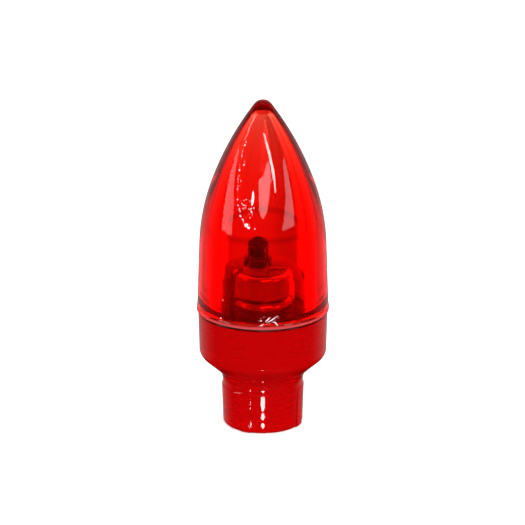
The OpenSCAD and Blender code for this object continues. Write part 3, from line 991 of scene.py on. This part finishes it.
def bent_wire(points, bend):
    """The path of a wire with straight runs in the XZ plane. Each corner is a right angle,
    bent to a radius."""
    path = [Vector((points[0][0], 0.0, points[0][1]))]
    for before, corner, after in zip(points, points[1:], points[2:]):
        c = Vector((corner[0], 0.0, corner[1]))
        to_before = (Vector((before[0], 0.0, before[1])) - c).normalized()
        to_after = (Vector((after[0], 0.0, after[1])) - c).normalized()
        centre = c + (to_before + to_after) * bend
        start, end = c + to_before * bend, c + to_after * bend
        for i in range(BEND_STEPS + 1):
            turn = math.radians(90 * i / BEND_STEPS)
            out, on = (start - centre) * math.cos(turn), (end - centre) * math.sin(turn)
            path.append(centre + out + on)
    path.append(Vector((points[-1][0], 0.0, points[-1][1])))
    return path


def sweep_square(name, path, width, edge=LEAD_EDGE):
    """Sweeps a square with softened edges along a path in the XZ plane."""
    half = width / 2
    corner = half - edge
    section = []
    for turn, (sx, sy) in enumerate(((1, 1), (-1, 1), (-1, -1), (1, -1))):
        for step in range(4):
            a = math.radians(90 * turn + 30 * step)
            section.append((sx * corner + edge * math.cos(a), sy * corner + edge * math.sin(a)))
    made = bmesh.new()
    rings = []
    for i, point in enumerate(path):
        ahead = path[min(i + 1, len(path) - 1)] - path[max(i - 1, 0)]
        ahead.normalize()
        side = Vector((0.0, 1.0, 0.0))
        up = ahead.cross(side)
        rings.append([made.verts.new((point + up * a + side * b) * MM) for a, b in section])
    skin_rings(made, rings)
    return finished(made, name)


def make_leads():
    """The lamp's two leads: one lies on the top cell, one goes down beside the stack."""
    half = LEAD_T / 2
    jog = LAMP_LOW + LEAD_IN_LENS + half
    post = LAMP_R - LEAD_T
    frame_top = LAMP_LOW + FRAME_H
    right = LAMP_X + LEAD_PITCH / 2
    left = LAMP_X - LEAD_PITCH / 2
    top_path = bent_wire(
        [
            (TOP_LEAD_REACH, CELLS_TOP + half),
            (right, CELLS_TOP + half),
            (right, jog),
            (LAMP_X + post, jog),
            (LAMP_X + post, frame_top),
        ],
        LEAD_BEND,
    )
    mesh = sweep_square("lead_on_cell", top_path, LEAD_T)
    new_piece("lead_on_cell", mesh, LEAD_WIRE, "base", ["top_lead"])
    run = CELLS_TOP + SLEEVE_W + half
    drop = -(CHAMBER_R + SLEEVE_W + half)
    foot = foot_of("side_lead")
    side_path = bent_wire(
        [
            (drop, foot),
            (drop, run),
            (left, run),
            (left, jog),
            (LAMP_X - post, jog),
            (LAMP_X - post, frame_top),
        ],
        LEAD_BEND,
    )
    mesh = sweep_square("lead_beside_cells", side_path, LEAD_T)
    new_piece("lead_beside_cells", mesh, LEAD_WIRE, "base", ["side_lead"])
    sleeve_path = bent_wire(
        [(drop, foot + LEAD_T), (drop, run), (LAMP_X - LAMP_FLANGE_R - 0.1, run)], SLEEVE_BEND
    )
    mesh = sweep_square("sleeve_tube", sleeve_path, LEAD_T + 2 * SLEEVE_W, SLEEVE_EDGE)
    new_piece("sleeve_tube", mesh, SLEEVE_PLASTIC, "base", ["lead_sleeve"])


def make_reflector_cup():
    """The cup on top of the side lead's post, where the light is made."""
    foot_r, rim_r, inner_rim_r, dish_r, dish_depth, off = 0.45, 0.72, 0.6, 0.35, 0.45, 0.2
    frame_top = LAMP_LOW + FRAME_H
    outline = [
        (0.0, frame_top - FRAME_CUP_H),
        (foot_r, frame_top - FRAME_CUP_H),
        (rim_r, frame_top),
        (inner_rim_r, frame_top),
        (dish_r, frame_top - dish_depth),
        (0.0, frame_top - dish_depth),
    ]
    mesh = lathe("reflector_cup", outline, columns=CUP_COLUMNS, centre=(LAMP_X - off, 0.0))
    new_piece("reflector_cup", mesh, LEAD_WIRE, "base", None)


def dress_hidden_pieces():
    """Finishes for the CAD pieces under the cells, which keep their own forms."""
    for node, finish in (
        ("contact_plate", CONTACT_STEEL),
        ("switch_spring", CONTACT_STEEL),
        ("switch_pin", PIN_BRASS),
        ("insulating_ring", RING_PLASTIC),
    ):
        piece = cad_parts[node]
        piece.data.materials.clear()
        piece.data.materials.append(finish)


# Room, light and camera

def pale_floor():
    """The floor that the camera sees. Mirrored and refracted rays see the room instead."""
    mesh = bpy.data.meshes.new("floor")
    half = 3.0
    corners = [(-half, -half, 0.0), (half, -half, 0.0), (half, half, 0.0), (-half, half, 0.0)]
    mesh.from_pydata(corners, [], [(0, 1, 2, 3)])
    material, tree, skin = new_material("pale_floor")
    skin.inputs["Base Color"].default_value = (0.93, 0.93, 0.93, 1.0)
    skin.inputs["Roughness"].default_value = 0.7
    floor = bpy.data.objects.new("floor", mesh)
    bpy.context.scene.collection.objects.link(floor)
    mesh.materials.append(material)
    floor.visible_glossy = False
    floor.visible_transmission = False


def glowing_shape(name, corners, strength):
    """A flat or bent patch of light from pairs of corners. The camera doesn't see it, and it
    throws no shadow."""
    mesh = bpy.data.meshes.new(name)
    count = len(corners) // 2
    faces = [(2 * i, 2 * i + 1, 2 * i + 3, 2 * i + 2) for i in range(count - 1)]
    mesh.from_pydata([Vector(corner) * MM for corner in corners], [], faces)
    material, tree, skin = new_material(name)
    skin.inputs["Base Color"].default_value = (0.0, 0.0, 0.0, 1.0)
    skin.inputs["Emission Color"].default_value = (1.0, 1.0, 1.0, 1.0)
    skin.inputs["Emission Strength"].default_value = strength
    mesh.materials.append(material)
    patch = bpy.data.objects.new(name, mesh)
    bpy.context.scene.collection.objects.link(patch)
    patch.visible_camera = False
    patch.visible_shadow = False
    return patch


def window(name, rows, strength):
    """A tall window round the cap. Azimuths are measured from the front to the right."""
    corners = []
    for height, left, right in rows:
        for azimuth in (left, right):
            a = math.radians(azimuth)
            corners.append((WINDOW_R * math.sin(a), -WINDOW_R * math.cos(a), height))
    glowing_shape(name, corners, strength)


def floor_glow(name, azimuth, turn, rows, strength):
    """A bright streak on the floor, which only mirrored rays see. It starts under the stem's
    face at one azimuth and runs off at another one."""
    a, b = math.radians(azimuth), math.radians(turn)
    start = Vector((math.sin(a), -math.cos(a), 0.0)) * STEM_FOOT_R
    along = Vector((math.sin(b), -math.cos(b), 0.0))
    across = Vector((math.cos(b), math.sin(b), 0.0))
    lift = Vector((0.0, 0.0, GLOW_LIFT))
    corners = []
    for distance, half in rows:
        for side in (-half, half):
            corners.append(start + along * distance + across * side + lift)
    patch = glowing_shape(name, corners, strength)
    patch.visible_transmission = False
    patch.visible_diffuse = False


def neck_card():
    """A black card in front of the neck, so that the floor's light reaches only the stem."""
    corners = []
    for i in range(CARD_STEPS + 1):
        a = math.radians(CARD_START + CARD_STEP * i)
        for r in (NECK_R + CARD_GAP, CARD_R):
            corners.append((r * math.cos(a), r * math.sin(a), STEM_H + CARD_LIFT))
    card = glowing_shape("neck_card", corners, 0.0)
    card.visible_transmission = False
    card.visible_diffuse = False


def room_in_gloss(tree, split):
    """The room as shiny faces mirror it: bright behind the cap, dark low down, and with a
    little light straight above."""
    behind = mapped(tree, split.outputs["Y"], 0.0, 1.1, 0.01, 0.42)
    above = mapped(tree, split.outputs["Z"], 0.93, 1.0, 0.0, 0.2)
    not_low = mapped(tree, split.outputs["Z"], -0.6, -0.34)
    return maths(tree, "ADD", maths(tree, "MULTIPLY", behind, not_low), above)


def room_through_plastic(tree, direction, split):
    """The room as it is seen through the plastic: an uneven back wall, brighter on both
    sides of its middle, and a low dim light on the camera's side."""
    wall_light = mapped(tree, split.outputs["Y"], -0.7, 0.0, 0.7, 0.95)
    uneven = mapped(tree, noise(tree, direction, 3.5, 1.0).outputs["Fac"], 0.38, 0.62, 0.7, 1.0)
    wall_light = maths(tree, "MULTIPLY", wall_light, uneven)
    aside = maths(tree, "ABSOLUTE", split.outputs["X"])
    inner, outer = mapped(tree, aside, 0.3, 0.5), mapped(tree, aside, 0.7, 0.9, 1.0, 0.0)
    sides = maths(tree, "MULTIPLY", inner, outer)
    sides = maths(tree, "MULTIPLY", sides, mapped(tree, split.outputs["Y"], 0.0, 0.3))
    sides = maths(tree, "MULTIPLY", sides, mapped(tree, split.outputs["Z"], -0.6, -0.38))
    near = mapped(tree, split.outputs["Y"], -0.8, -0.4, 0.15, 0.0)
    low = mapped(tree, split.outputs["Z"], -0.35, -0.1, 1.0, 0.0)
    light = maths(tree, "ADD", wall_light, maths(tree, "MULTIPLY", sides, 2.2))
    return maths(tree, "ADD", light, maths(tree, "MULTIPLY", near, low))


def room_strength(tree):
    """Strength of the white room. Mirrored rays and rays through the plastic see it by
    direction, and all others see it plain."""
    place = add_node(tree, "ShaderNodeTexCoord")
    split = add_node(tree, "ShaderNodeSeparateXYZ")
    direction = place.outputs["Generated"]
    tree.links.new(direction, split.inputs[0])
    ray = add_node(tree, "ShaderNodeLightPath").outputs
    passed = ray["Is Transmission Ray"]
    mirrored = maths(tree, "MULTIPLY", ray["Is Glossy Ray"], ray["Is Reflection Ray"])
    other = maths(tree, "SUBTRACT", 1.0, maths(tree, "ADD", mirrored, passed))
    shares = [
        (mirrored, room_in_gloss(tree, split)),
        (passed, room_through_plastic(tree, direction, split)),
        (other, 1.25),
        (ray["Is Diffuse Ray"], 0.8),
    ]
    parts = [maths(tree, "MULTIPLY", share, light) for share, light in shares]
    in_plastic = maths(tree, "ADD", parts[0], parts[1])
    return maths(tree, "ADD", in_plastic, maths(tree, "ADD", parts[2], parts[3]))


def studio():
    """A white room with windows, streaks of light on the floor and a card by the neck."""
    world = bpy.data.worlds.new("studio")
    bpy.context.scene.world = world
    world.use_nodes = True
    tree = world.node_tree
    sky = tree.nodes["Background"]
    sky.inputs["Color"].default_value = (1.0, 1.0, 1.0, 1.0)
    tree.links.new(room_strength(tree), sky.inputs["Strength"])
    for name, (strength, rows) in WINDOWS.items():
        window(name, rows, strength)
    neck_card()
    for name, (azimuth, turn, strength, rows) in FLOOR_GLOWS.items():
        floor_glow(name, azimuth, turn, rows, strength)
    cycles = bpy.context.scene.cycles
    cycles.glossy_bounces = 12
    cycles.transmission_bounces = 24
    cycles.max_bounces = 24


def photograph_camera():
    data = bpy.data.cameras.new("camera")
    data.lens = VIEW_LENS
    data.sensor_width = 36.0
    data.clip_start = 0.01
    camera = bpy.data.objects.new("camera", data)
    e = math.radians(VIEW_ELEVATION)
    camera.location = VIEW_AIM + VIEW_DISTANCE * Vector((0.0, -math.cos(e), math.sin(e)))
    camera.rotation_euler = (VIEW_AIM - camera.location).to_track_quat("-Z", "Y").to_euler()
    bpy.context.scene.collection.objects.link(camera)
    bpy.context.scene.camera = camera
    bpy.context.scene.view_settings.view_transform = "Standard"


make_base()
make_cover()
make_glue_marks()
make_seal()
make_holder()
make_cells()
make_lens()
make_leads()
make_reflector_cup()
dress_hidden_pieces()
pale_floor()
studio()
photograph_camera()

bpy.context.view_layer.update()
